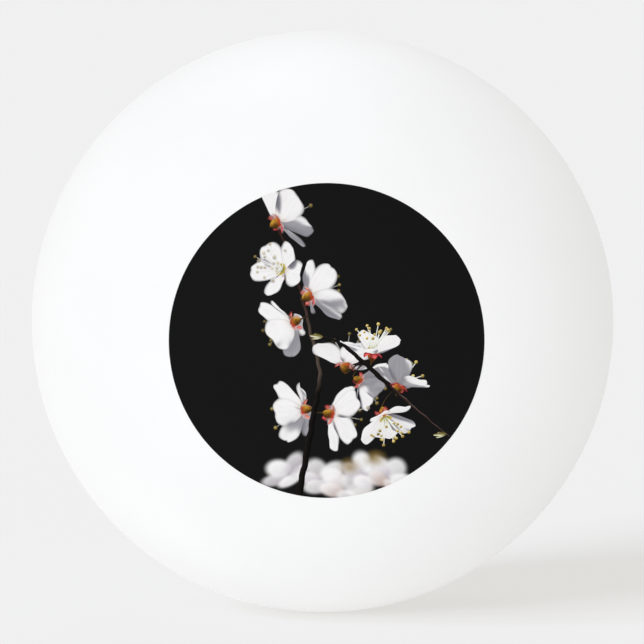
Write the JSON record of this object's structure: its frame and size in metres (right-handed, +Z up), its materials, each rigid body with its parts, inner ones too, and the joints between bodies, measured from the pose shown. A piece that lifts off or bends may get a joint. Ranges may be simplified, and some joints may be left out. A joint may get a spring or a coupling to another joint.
{
  "type": "table tennis ball",
  "caption": "Hollow 40 mm table tennis ball of two cemented half shells, with a round six-colour blossom print on one side.",
  "frame": {"origin": "the ball's centre", "axes": "+Z up, -Y out through the middle of the print, +X to the right of a person who faces the print; the seam lies in the XZ plane"},
  "size_m": [0.04, 0.04, 0.04],
  "materials": {
    "front_shell": "fine matt sanded ABS, white, slightly translucent",
    "rear_shell": "fine matt sanded ABS, white, slightly translucent",
    "cement": "dried solvent cement, off-white",
    "ink_black": "matt black printing ink",
    "ink_white": "matt white printing ink with grey shading",
    "ink_red": "matt red printing ink",
    "ink_olive": "matt olive-amber printing ink",
    "ink_yellow": "matt pale yellow printing ink",
    "ink_brown": "matt dark brown printing ink"
  },
  "bodies": {
    "root": {"front_half_shell": "front_shell", "rear_half_shell": "rear_shell", "seam_cement": "cement", "print_ground": "ink_black", "print_petals": "ink_white", "print_sepals": "ink_red", "print_cups": "ink_olive", "print_stamens": "ink_yellow", "print_twigs": "ink_brown"}
  },
  "joints": []
}
